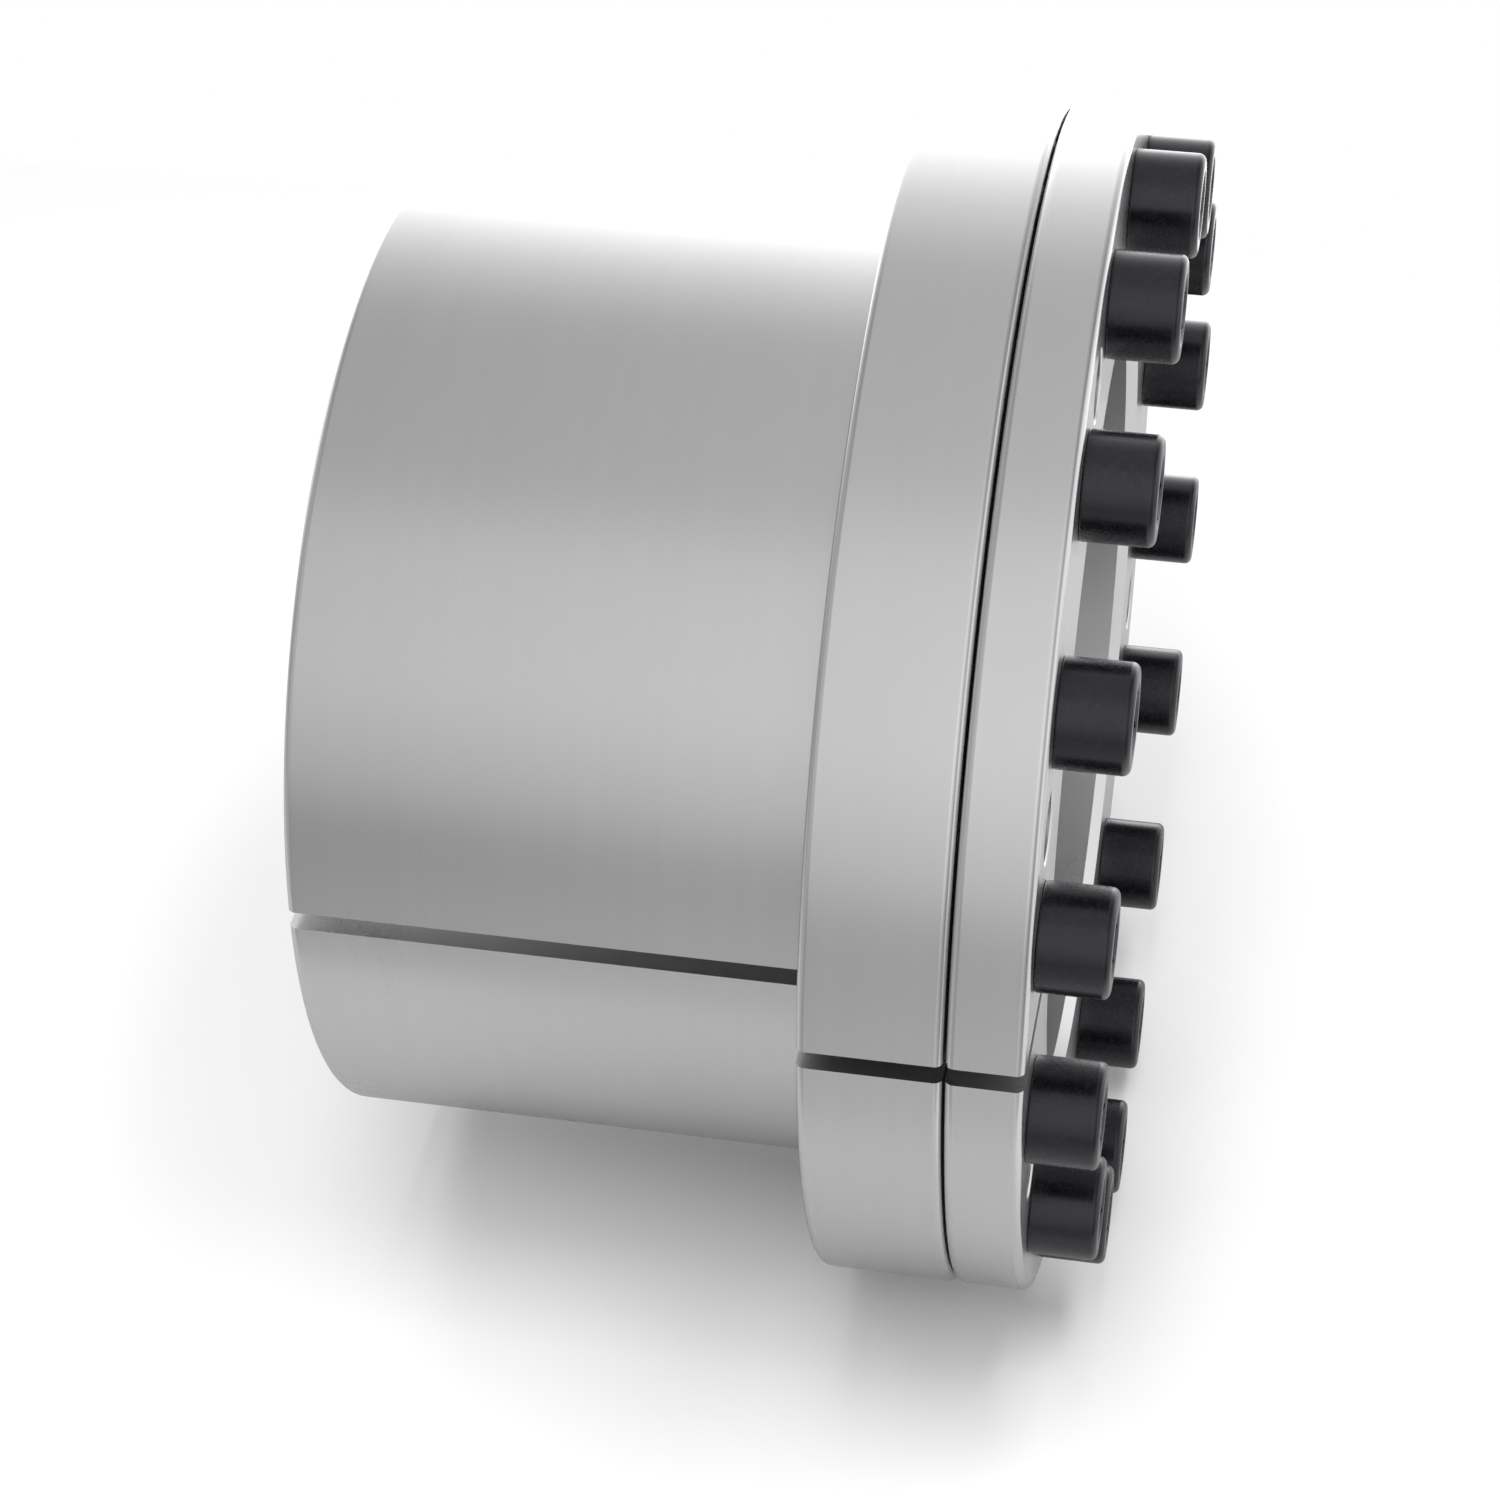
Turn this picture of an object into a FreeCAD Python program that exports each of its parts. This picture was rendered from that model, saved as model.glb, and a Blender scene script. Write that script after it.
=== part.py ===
import FreeCAD, Part
import os
import Sketcher

# Keyless locking assembly for a 140 mm shaft in a 175 mm hub, millimetres.
# Two slit steel rings fit one in the other on a shallow taper. The outer ring is
# the sleeve that fills the hub, with a thick flange behind the screws. The inner
# ring grips the shaft and carries the front flange. Sixteen cap screws pull the
# front flange towards the rear one, so the tapers wedge the rings apart.
# Z is the shaft's axis, with z = 0 on the sleeve's free end and the screw heads
# on top. The slit lies along +X, midway between two screws.


# Driving dimensions

DRIVING_SIZES = [
    ("bore_dia", 140.0, "shaft bore of the inner ring"),
    ("bore_chamfer", 2.0, "chamfer at the bore's mouth, in the front face"),
    ("inner_end_wall", 4.5, "bore to taper seat, at the sleeve's free end"),
    ("outer_end_wall", 13.0, "taper seat to hub seat, at the sleeve's free end"),
    ("taper_angle", 3.0, "half angle of the taper, degrees"),
    ("taper_clearance", 0.05, "radial play left between the two tapers"),
    ("inner_end_inset", 1.0, "inner ring's free end inside the sleeve's end"),
    ("end_chamfer", 1.0, "chamfers at the free ends and at the taper's mouth"),
    ("neck_round", 0.8, "fillet where the inner ring meets its flange"),
    ("sleeve_length", 90.0, "hub seat, from the free end to the rear flange"),
    ("sleeve_end_round", 1.5, "rounded lead-in at the sleeve's free end"),
    ("rear_flange_thick", 23.85, "tapped flange of the outer ring"),
    ("flange_gap", 0.3, "gap left between the flanges when tight"),
    ("front_flange_thick", 12.85, "flange of the inner ring"),
    ("rim_margin", 4.5, "screw head's edge to the flange rim"),
    ("rim_round", 1.5, "rounding of the flange rims"),
    ("slit_width", 3.4, "lengthwise slit through each ring"),
    ("screw_count", 16, "cap screws, evenly spaced"),
    ("thread_dia", 12.0, "nominal thread of screws and jacking holes"),
    ("thread_play", 0.2, "radial play of a screw in its tapped hole"),
    ("shank_play", 0.75, "radial play of a screw in the front flange"),
    ("hole_to_sleeve", 0.3, "web between a tapped hole and the hub seat"),
    ("tip_recess", 2.0, "screw tip below the rear flange's back face"),
    ("tip_chamfer", 1.2, "chamfer at the screw's tip"),
    ("head_dia", 18.0, "cap screw head"),
    ("head_height", 12.0, "height of the head above the front face"),
    ("head_round", 1.3, "rounded top edge of the head"),
    ("seat_round", 0.4, "rounded lower edge of the head"),
    ("socket_width", 10.0, "hexagon socket across flats"),
    ("socket_depth", 6.0, "depth of the hexagon"),
    ("socket_pilot_dia", 8.0, "drilled pilot below the hexagon"),
    ("socket_mouth_dia", 12.2, "countersink at the socket's mouth"),
    ("drill_cone_slope", 30.0, "slope of the pilot's end and of the mouth, degrees"),
    ("socket_turn_step", 37.0, "turn of each socket after the last, degrees"),
    ("thread_chamfer", 0.3, "countersink of the tapped and jacking holes"),
]

# Sizes that follow from the driving ones

DERIVED_SIZES = [
    ("seat_radius", "=bore_dia / 2 + inner_end_wall"),
    ("sleeve_radius", "=seat_radius + outer_end_wall"),
    ("taper_slope", "=tan(taper_angle * 1deg)"),
    ("rear_face_z", "=sleeve_length + rear_flange_thick"),
    ("front_back_z", "=rear_face_z + flange_gap"),
    ("front_face_z", "=front_back_z + front_flange_thick"),
    ("tapped_dia", "=thread_dia + 2 * thread_play"),
    ("clearance_dia", "=thread_dia + 2 * shank_play"),
    ("screw_circle_radius", "=sleeve_radius + hole_to_sleeve + tapped_dia / 2"),
    ("flange_radius", "=screw_circle_radius + head_dia / 2 + rim_margin"),
    ("screw_length", "=front_face_z - sleeve_length - tip_recess"),
    ("screw_pitch_angle", "=360 / screw_count"),
    ("first_screw_angle", "=screw_pitch_angle / 2"),
    ("jack_pitch_angle", "=2 * screw_pitch_angle"),
    ("jack_count", "=floor(screw_count / 2)"),
]

doc = FreeCAD.newDocument("locking_assembly")
sheet = doc.addObject("Spreadsheet::Sheet", "sizes")


def fill_sheet():
    """Write every size into the sheet, with its name as alias."""
    row = 1
    for name, value, note in DRIVING_SIZES:
        sheet.set(f"A{row}", name)
        sheet.set(f"B{row}", str(value))
        sheet.set(f"C{row}", note)
        sheet.setAlias(f"B{row}", name)
        row += 1
    for name, formula in DERIVED_SIZES:
        sheet.set(f"A{row}", name)
        sheet.set(f"B{row}", formula)
        sheet.setAlias(f"B{row}", name)
        row += 1
    doc.recompute()


def size(name):
    """A size's value, for first placements that an expression then drives."""
    value = sheet.get(name)
    return float(getattr(value, "Value", value))


fill_sheet()


# Sketch helpers

def named(text):
    """Put the sheet's name before each size in an expression."""
    words = [entry[0] for entry in DRIVING_SIZES + DERIVED_SIZES]
    for word in sorted(words, key=len, reverse=True):
        text = text.replace(f"<{word}>", f"sizes.{word}")
    return text


def origin_plane(body, role):
    """One of the body's own origin planes or axes."""
    for feature in body.Origin.OriginFeatures:
        if feature.Role == role:
            return feature
    raise ValueError(role)


def new_body(name):
    body = doc.addObject("PartDesign::Body", name)
    body.Label = name
    return body


def new_sketch(body, name, role, height=None):
    """A sketch on an origin plane, lifted along its normal by an expression."""
    sketch = body.newObject("Sketcher::SketchObject", name)
    sketch.AttachmentSupport = [(origin_plane(body, role), "")]
    sketch.MapMode = "FlatFace"
    if height:
        sketch.setExpression("AttachmentOffset.Base.z", named(height))
    return sketch


def evaluate(sketch, expression):
    """Value that an expression has now, as a plain number."""
    value = sketch.evalExpression(named(expression))
    return float(getattr(value, "Value", value))


def drive(sketch, kind, geometry, expression):
    """Add a dimension to a sketch and bind it to an expression."""
    value = evaluate(sketch, expression)
    index = sketch.addConstraint(Sketcher.Constraint(kind, *geometry, value))
    sketch.setExpression(f"Constraints[{index}]", named(expression))


def draw_profile(sketch, corners):
    """Closed outline through corners given as (radius, height) expressions."""
    points = []
    for across, up in corners:
        points.append(FreeCAD.Vector(evaluate(sketch, across), evaluate(sketch, up), 0))
    count = len(points)
    for i in range(count):
        sketch.addGeometry(Part.LineSegment(points[i], points[(i + 1) % count]), False)
    for i in range(count):
        sketch.addConstraint(Sketcher.Constraint("Coincident", i, 2, (i + 1) % count, 1))
    for i, (across, up) in enumerate(corners):
        place_point(sketch, i, across, up)


def place_point(sketch, line, across, up):
    """Fix a line's start point at its radius and height, or on an axis at zero."""
    if across == "0":
        sketch.addConstraint(Sketcher.Constraint("PointOnObject", line, 1, -2))
    else:
        drive(sketch, "DistanceX", (-1, 1, line, 1), across)
    if up == "0":
        sketch.addConstraint(Sketcher.Constraint("PointOnObject", line, 1, -1))
    else:
        drive(sketch, "DistanceY", (-1, 1, line, 1), up)


# Feature helpers

def revolve(body, name, corners, kind="PartDesign::Revolution"):
    """Turn a profile of (radius, height) corners about the body's Z axis."""
    sketch = new_sketch(body, f"{name}_profile", "XZ_Plane")
    draw_profile(sketch, corners)
    turned = body.newObject(kind, name)
    turned.Profile = sketch
    turned.ReferenceAxis = (sketch, ["V_Axis"])
    turned.Angle = 360
    doc.recompute()
    return turned


def rim_edges(feature, rims):
    """Names of the full circles at the given (radius, height) rims."""
    names = []
    for number, edge in enumerate(feature.Shape.Edges, 1):
        if not isinstance(edge.Curve, Part.Circle):
            continue
        for radius, height in rims:
            same_radius = abs(edge.Curve.Radius - radius) < 1e-4
            same_height = abs(edge.Curve.Center.z - height) < 1e-4
            if same_radius and same_height:
                names.append(f"Edge{number}")
    if len(names) != len(rims):
        raise ValueError(f"{feature.Name}: {len(names)} of {len(rims)} rims found")
    return names


def dress(body, kind, name, base, rims, size_name):
    """Fillet or chamfer the circles at the given rims."""
    dressed = body.newObject(kind, name)
    dressed.Base = (base, rim_edges(base, rims))
    prop = "Radius" if kind.endswith("Fillet") else "Size"
    dressed.setExpression(prop, named(f"<{size_name}>"))
    doc.recompute()
    return dressed


def check_cut(feature, before):
    """A cut that points away from the solid removes nothing, so compare volumes."""
    removed = before.Shape.Volume - feature.Shape.Volume
    if removed <= 1e-6:
        raise ValueError(f"{feature.Name} cuts nothing")


def cut_slit(body, name, base):
    """Saw one wall of a ring through, along +X and over its whole length."""
    sketch = new_sketch(body, f"{name}_outline", "XY_Plane")
    draw_profile(sketch, [
        ("0", "-<slit_width> / 2"),
        ("<flange_radius> + <rim_margin>", "-<slit_width> / 2"),
        ("<flange_radius> + <rim_margin>", "<slit_width> / 2"),
        ("0", "<slit_width> / 2"),
    ])
    slit = body.newObject("PartDesign::Pocket", name)
    slit.Profile = sketch
    slit.Type = "ThroughAll"
    slit.Reversed = True
    doc.recompute()
    check_cut(slit, base)
    return slit


def drill_ring(body, name, base, height, diameter, first, step, count, chamfer=None):
    """Drill holes down through a flange: the first at an angle, the rest a step apart."""
    sketch = new_sketch(body, f"{name}_place", "XY_Plane", height)
    across = f"<screw_circle_radius> * cos({first} * 1deg)"
    along = f"<screw_circle_radius> * sin({first} * 1deg)"
    centre = FreeCAD.Vector(evaluate(sketch, across), evaluate(sketch, along), 0)
    normal = FreeCAD.Vector(0, 0, 1)
    sketch.addGeometry(Part.Circle(centre, normal, evaluate(sketch, diameter) / 2), False)
    drive(sketch, "Diameter", (0,), diameter)
    drive(sketch, "DistanceX", (-1, 1, 0, 3), across)
    drive(sketch, "DistanceY", (-1, 1, 0, 3), along)
    doc.recompute()
    hole = body.newObject("PartDesign::Hole", name)
    hole.Profile = sketch
    doc.recompute()
    hole.Threaded = False
    hole.ThreadType = "None"
    hole.DepthType = "Dimension"
    hole.DrillPoint = "Flat"
    hole.setExpression("Diameter", named(diameter))
    hole.setExpression("Depth", named("<rear_flange_thick> + <front_flange_thick>"))
    if chamfer:
        hole.HoleCutType = "Countersink"
        hole.HoleCutCountersinkAngle = 90
        hole.setExpression("HoleCutDiameter", named(f"{diameter} + 2 * {chamfer}"))
    doc.recompute()
    check_cut(hole, base)
    ring = body.newObject("PartDesign::PolarPattern", f"{name}_ring")
    ring.Originals = [hole]
    ring.Axis = (origin_plane(body, "Z_Axis"), [""])
    ring.Mode = "Spacing"
    ring.setExpression("Offset", named(step))
    ring.setExpression("Occurrences", named(count))
    body.Tip = ring
    doc.recompute()
    check_cut(ring, hole)
    return ring


# Outer ring: hub seat, inner taper and tapped rear flange

def outer_ring():
    body = new_body("outer_ring")
    mouth = "<seat_radius> + <rear_face_z> * <taper_slope>"
    turned = revolve(body, "outer_turning", [
        ("<seat_radius>", "0"),
        ("<sleeve_radius>", "0"),
        ("<sleeve_radius>", "<sleeve_length>"),
        ("<flange_radius>", "<sleeve_length>"),
        ("<flange_radius>", "<rear_face_z>"),
        (mouth, "<rear_face_z>"),
    ])
    mouth_radius = size("seat_radius") + size("rear_face_z") * size("taper_slope")
    lead_in = dress(body, "PartDesign::Fillet", "sleeve_lead_in", turned,
                    [(size("sleeve_radius"), 0)], "sleeve_end_round")
    rims = dress(body, "PartDesign::Fillet", "rear_rims", lead_in,
                 [(size("flange_radius"), size("sleeve_length")),
                  (size("flange_radius"), size("rear_face_z"))], "rim_round")
    ends = dress(body, "PartDesign::Chamfer", "taper_ends", rims,
                 [(size("seat_radius"), 0),
                  (mouth_radius, size("rear_face_z"))], "end_chamfer")
    slit = cut_slit(body, "outer_slit", ends)
    drill_ring(body, "tapped_hole", slit, "<rear_face_z>", "<tapped_dia>",
               "<first_screw_angle>", "<screw_pitch_angle>", "<screw_count>",
               "<thread_chamfer>")
    return body


# Inner ring: shaft bore, outer taper and front flange

def inner_ring():
    body = new_body("inner_ring")
    tip = "<seat_radius> - <taper_clearance> + <inner_end_inset> * <taper_slope>"
    neck = "<seat_radius> - <taper_clearance> + <front_back_z> * <taper_slope>"
    turned = revolve(body, "inner_turning", [
        ("<bore_dia> / 2", "<inner_end_inset>"),
        (tip, "<inner_end_inset>"),
        (neck, "<front_back_z>"),
        ("<flange_radius>", "<front_back_z>"),
        ("<flange_radius>", "<front_face_z>"),
        ("<bore_dia> / 2", "<front_face_z>"),
    ])
    taper_start = size("seat_radius") - size("taper_clearance")
    tip_radius = taper_start + size("inner_end_inset") * size("taper_slope")
    neck_radius = taper_start + size("front_back_z") * size("taper_slope")
    neck_fillet = dress(body, "PartDesign::Fillet", "neck_fillet", turned,
                        [(neck_radius, size("front_back_z"))], "neck_round")
    rims = dress(body, "PartDesign::Fillet", "front_rims", neck_fillet,
                 [(size("flange_radius"), size("front_back_z")),
                  (size("flange_radius"), size("front_face_z"))], "rim_round")
    mouth = dress(body, "PartDesign::Chamfer", "bore_mouth", rims,
                  [(size("bore_dia") / 2, size("front_face_z"))], "bore_chamfer")
    ends = dress(body, "PartDesign::Chamfer", "inner_ends", mouth,
                 [(size("bore_dia") / 2, size("inner_end_inset")),
                  (tip_radius, size("inner_end_inset"))], "end_chamfer")
    slit = cut_slit(body, "inner_slit", ends)
    clear = drill_ring(body, "clearance_hole", slit, "<front_face_z>",
                       "<clearance_dia>", "<first_screw_angle>",
                       "<screw_pitch_angle>", "<screw_count>")
    drill_ring(body, "jacking_hole", clear, "<front_face_z>", "<thread_dia>",
               "<screw_pitch_angle>", "<jack_pitch_angle>", "<jack_count>",
               "<thread_chamfer>")
    return body


# Cap screws, each in its hole with the head on the front face

def cut_socket(body, name, base):
    """Pilot drilling with its countersunk mouth, then the hexagon."""
    fall = "tan(<drill_cone_slope> * 1deg)"
    pilot = "<socket_pilot_dia> / 2"
    mouth = "<socket_mouth_dia> / 2"
    top = "<head_height>"
    drilled = revolve(body, f"{name}_pilot", [
        ("0", top),
        (mouth, top),
        (pilot, f"{top} - ({mouth} - {pilot}) * {fall}"),
        (pilot, f"{top} - <socket_depth>"),
        ("0", f"{top} - <socket_depth> - {pilot} * {fall}"),
    ], "PartDesign::Groove")
    check_cut(drilled, base)
    sketch = new_sketch(body, f"{name}_hexagon", "XY_Plane", top)
    corner = "<socket_width> / sqrt(3)"
    draw_profile(sketch, [
        (f"{corner}", "0"),
        (f"{corner} / 2", "<socket_width> / 2"),
        (f"-{corner} / 2", "<socket_width> / 2"),
        (f"-{corner}", "0"),
        (f"-{corner} / 2", "-<socket_width> / 2"),
        (f"{corner} / 2", "-<socket_width> / 2"),
    ])
    hexagon = body.newObject("PartDesign::Pocket", f"{name}_socket")
    hexagon.Profile = sketch
    hexagon.setExpression("Length", named("<socket_depth>"))
    doc.recompute()
    check_cut(hexagon, drilled)
    return hexagon


def cap_screw(number):
    name = f"screw_{number:02d}"
    body = new_body(name)
    shank = "<thread_dia> / 2"
    turned = revolve(body, f"{name}_turning", [
        ("0", "-<screw_length>"),
        (f"{shank} - <tip_chamfer>", "-<screw_length>"),
        (shank, "<tip_chamfer> - <screw_length>"),
        (shank, "0"),
        ("<head_dia> / 2", "0"),
        ("<head_dia> / 2", "<head_height>"),
        ("0", "<head_height>"),
    ])
    crown = dress(body, "PartDesign::Fillet", f"{name}_crown", turned,
                  [(size("head_dia") / 2, size("head_height"))], "head_round")
    foot = dress(body, "PartDesign::Fillet", f"{name}_foot", crown,
                 [(size("head_dia") / 2, 0)], "seat_round")
    cut_socket(body, name, foot)
    around = f"(<first_screw_angle> + <screw_pitch_angle> * {number - 1}) * 1deg"
    body.setExpression("Placement.Base.x", named(f"<screw_circle_radius> * cos({around})"))
    body.setExpression("Placement.Base.y", named(f"<screw_circle_radius> * sin({around})"))
    body.setExpression("Placement.Base.z", named("<front_face_z>"))
    body.Placement.Rotation = FreeCAD.Rotation(FreeCAD.Vector(0, 0, 1), 0)
    turn = f"<socket_turn_step> * {number} * 1deg"
    body.setExpression("Placement.Rotation.Angle", named(turn))
    return body


# Build, check and write

def check_document(bodies):
    """Stop if any object failed or any piece isn't one valid solid."""
    for obj in doc.Objects:
        if "Invalid" in obj.State or "Error" in obj.State:
            raise ValueError(f"{obj.Name} failed: {obj.State}")
    for body in bodies:
        shape = body.Shape
        if shape.isNull() or not shape.isValid() or len(shape.Solids) != 1:
            raise ValueError(f"{body.Label} isn't one valid solid")


pieces = [outer_ring(), inner_ring()]
for screw_number in range(1, int(size("screw_count")) + 1):
    pieces.append(cap_screw(screw_number))
doc.recompute()
check_document(pieces)

os.makedirs("parts", exist_ok=True)
for piece in pieces:
    piece.Shape.exportStep(os.path.join("parts", f"{piece.Label}.step"))
    box = piece.Shape.BoundBox
    print(f"{piece.Label}: {piece.Shape.Volume / 1000:.2f} cm3, "
          f"z {box.ZMin:.2f} to {box.ZMax:.2f}")
print(f"flange diameter {2 * size('flange_radius'):.2f}, "
      f"hub seat {2 * size('sleeve_radius'):.2f}, "
      f"screw circle {2 * size('screw_circle_radius'):.2f}, "
      f"screw length {size('screw_length'):.2f}")
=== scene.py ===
# %% [markdown]
# # A flanged keyless locking assembly
#
# Two slit steel rings with matching tapers fit one inside the other. Sixteen cap screws
# draw the inner ring into the outer one, which swells, so the pair grips a shaft inside
# and a hub outside. The solids come from the CAD model with their real sizes. This script
# adds what the solids leave out: the threads of the jacking holes and tapped holes, the
# turned steel with smooth rims, the black oxide of the screws, the table, the studio light
# and the camera.

import math

import bmesh
import bpy
from mathutils import Matrix, Vector


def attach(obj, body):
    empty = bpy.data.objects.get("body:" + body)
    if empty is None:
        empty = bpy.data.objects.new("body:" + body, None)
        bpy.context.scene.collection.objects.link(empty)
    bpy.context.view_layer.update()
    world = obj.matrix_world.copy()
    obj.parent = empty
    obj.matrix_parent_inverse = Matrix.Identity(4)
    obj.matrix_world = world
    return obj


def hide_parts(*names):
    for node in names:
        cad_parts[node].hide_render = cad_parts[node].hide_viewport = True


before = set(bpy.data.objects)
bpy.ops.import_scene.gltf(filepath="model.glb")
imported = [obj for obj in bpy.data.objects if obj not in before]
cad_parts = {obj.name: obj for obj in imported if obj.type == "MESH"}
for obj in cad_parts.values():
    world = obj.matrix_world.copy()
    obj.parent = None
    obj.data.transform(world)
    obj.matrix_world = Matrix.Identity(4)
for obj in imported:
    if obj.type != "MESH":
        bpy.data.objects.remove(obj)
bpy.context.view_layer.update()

# %% [markdown]
# The finishes and threads follow the rings, so they need the rings' main sizes. Each one
# is named here once, in metres, as the CAD model has it: the sleeve starts at z = 0 and
# the screw heads stand on the front face, at z = 0.127.

# %% Sizes of the rings and screws
SLEEVE_RADIUS = 0.0875
FLANGE_RADIUS = 0.1075
REAR_FLANGE_BACK = 0.090
REAR_FLANGE_FRONT = 0.11385
FRONT_FLANGE_BACK = 0.11415
FRONT_FACE = 0.127
HEAD_TOP = 0.139
HEAD_RADIUS = 0.009
SHANK_RADIUS = 0.006
SCREW_CIRCLE_RADIUS = 0.094
SCREW_COUNT = 16
SCREW_STEP = 2 * math.pi / SCREW_COUNT
THREAD_PITCH = 0.00175
print("one screw every", math.degrees(SCREW_STEP), "degrees")

# %% [markdown]
# ## Threads
#
# The front flange has eight tapped holes between the screws. An M12 screw driven into one
# of them pushes on the rear flange and parts the tapers again. A thread could be cut with
# a boolean, but a helical cutter is slow and leaves ragged faces. The hole in the solid
# already has the thread's outer diameter, so it is simpler to add the ridge that a tap
# leaves standing: a strip with four corners in section, swept along a helix.

# %% A ridge swept along a helix
THREAD_MINOR_RADIUS = 0.00506
RIDGE_ROOT_WIDTH = 0.00150
RIDGE_CREST_WIDTH = 0.00044
STEPS_PER_TURN = 48
RIDGE_SINK = 0.00005


def add_thread_ridge(mesh, centre, wall_radius, low, high):
    """Adds one internal thread ridge to the bmesh, between the heights low and high."""
    turns = (high - low - RIDGE_ROOT_WIDTH) / THREAD_PITCH
    count = int(turns * STEPS_PER_TURN)
    root = wall_radius + RIDGE_SINK
    previous = None
    for step in range(count + 1):
        angle = 2 * math.pi * step / STEPS_PER_TURN
        middle = low + RIDGE_ROOT_WIDTH / 2 + THREAD_PITCH * step / STEPS_PER_TURN
        fade = min(1.0, step / 12, (count - step) / 12)
        crest = wall_radius + (THREAD_MINOR_RADIUS - wall_radius) * fade
        section = (
            (root, -RIDGE_ROOT_WIDTH / 2),
            (crest, -RIDGE_CREST_WIDTH / 2),
            (crest, RIDGE_CREST_WIDTH / 2),
            (root, RIDGE_ROOT_WIDTH / 2),
        )
        corners = []
        for radius, rise in section:
            across = centre[0] + radius * math.cos(angle)
            along = centre[1] + radius * math.sin(angle)
            corners.append(mesh.verts.new((across, along, middle + rise)))
        if previous:
            for near, far in ((0, 1), (1, 2), (2, 3), (3, 0)):
                mesh.faces.new((previous[near], corners[near], corners[far], previous[far]))
        previous = corners


def make_threads(name, angles, wall_radius, low, high, body):
    """One object with a thread ridge in each hole of the screw circle at those angles."""
    mesh = bmesh.new()
    for angle in angles:
        centre = (SCREW_CIRCLE_RADIUS * math.cos(angle), SCREW_CIRCLE_RADIUS * math.sin(angle))
        add_thread_ridge(mesh, centre, wall_radius, low, high)
    bmesh.ops.recalc_face_normals(mesh, faces=mesh.faces)
    data = bpy.data.meshes.new(name)
    mesh.to_mesh(data)
    mesh.free()
    piece = bpy.data.objects.new(name, data)
    bpy.context.scene.collection.objects.link(piece)
    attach(piece, body)
    print(name, "holes:", len(angles), "faces:", len(data.polygons))
    return piece


# %% Threads of the jacking holes
JACKING_ANGLES = [(2 * k + 1) * SCREW_STEP for k in range(SCREW_COUNT // 2)]
jacking_threads = make_threads(
    "jacking_threads",
    JACKING_ANGLES,
    SHANK_RADIUS,
    FRONT_FLANGE_BACK + 0.0004,
    FRONT_FACE - 0.0004,
    "inner_ring",
)

# %% [markdown]
# The sixteen screws are tapped into the rear flange, and their tips end a little inside
# its back face. From behind, the thread shows in the mouth of each hole.

# %% Threads in the mouths of the tapped holes
TAPPED_HOLE_RADIUS = 0.0062
SCREW_ANGLES = [(k + 0.5) * SCREW_STEP for k in range(SCREW_COUNT)]
tapped_threads = make_threads(
    "tapped_threads",
    SCREW_ANGLES,
    TAPPED_HOLE_RADIUS,
    REAR_FLANGE_BACK + 0.0003,
    REAR_FLANGE_BACK + 0.0060,
    "outer_ring",
)

# %% [markdown]
# ## Small helpers for materials
#
# A node material is a graph. These helpers add a node and wire what it is given, so each
# finish below reads as a list of steps. A value may be a number or another node's output.


# %% Helpers that add and wire nodes
def wire(tree, value, socket):
    """Links an output to the socket, or sets the socket's own number."""
    if isinstance(value, bpy.types.NodeSocket):
        tree.links.new(value, socket)
    else:
        socket.default_value = value


def maths(tree, operation, first, second=0.0, third=0.0):
    """A Math node's result."""
    node = tree.nodes.new("ShaderNodeMath")
    node.operation = operation
    for value, socket in zip((first, second, third), node.inputs):
        wire(tree, value, socket)
    return node.outputs["Value"]


def scaled_range(tree, value, low, high, new_low, new_high):
    """A smooth step: value from low to high becomes new_low to new_high."""
    node = tree.nodes.new("ShaderNodeMapRange")
    node.interpolation_type = "SMOOTHSTEP"
    wire(tree, value, node.inputs["Value"])
    wire(tree, low, node.inputs["From Min"])
    wire(tree, high, node.inputs["From Max"])
    wire(tree, new_low, node.inputs["To Min"])
    wire(tree, new_high, node.inputs["To Max"])
    return node.outputs["Result"]


def blended(tree, share, first, second):
    """A colour between the first and the second."""
    node = tree.nodes.new("ShaderNodeMix")
    node.data_type = "RGBA"
    wire(tree, share, node.inputs["Factor"])
    wire(tree, first, node.inputs["A"])
    wire(tree, second, node.inputs["B"])
    return node.outputs["Result"]


def noise(tree, vector, scale, detail, roughness=0.5):
    """A three-dimensional noise value."""
    node = tree.nodes.new("ShaderNodeTexNoise")
    wire(tree, vector, node.inputs["Vector"])
    node.inputs["Scale"].default_value = scale
    node.inputs["Detail"].default_value = detail
    node.inputs["Roughness"].default_value = roughness
    return node.outputs["Fac"]


def from_axis_of(tree, position):
    """The parts of a position and its distance from the rings' common axis."""
    split = tree.nodes.new("ShaderNodeSeparateXYZ")
    tree.links.new(position, split.inputs["Vector"])
    across, along, height = split.outputs["X"], split.outputs["Y"], split.outputs["Z"]
    squares = maths(tree, "MULTIPLY_ADD", across, across, maths(tree, "MULTIPLY", along, along))
    return across, along, height, maths(tree, "SQRT", squares)


def dot_product(tree, first, second):
    """How far one vector points along another, from -1 to 1 for two unit vectors."""
    node = tree.nodes.new("ShaderNodeVectorMath")
    node.operation = "DOT_PRODUCT"
    wire(tree, first, node.inputs[0])
    wire(tree, second, node.inputs[1])
    return node.outputs["Value"]


def new_group(name, inputs, outputs):
    """An empty shader node group with named sockets, its input node and its output node."""
    tree = bpy.data.node_groups.new(name, "ShaderNodeTree")
    for label, kind in inputs:
        tree.interface.new_socket(name=label, in_out="INPUT", socket_type=kind)
    for label, kind in outputs:
        tree.interface.new_socket(name=label, in_out="OUTPUT", socket_type=kind)
    return tree, tree.nodes.new("NodeGroupInput"), tree.nodes.new("NodeGroupOutput")


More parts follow.
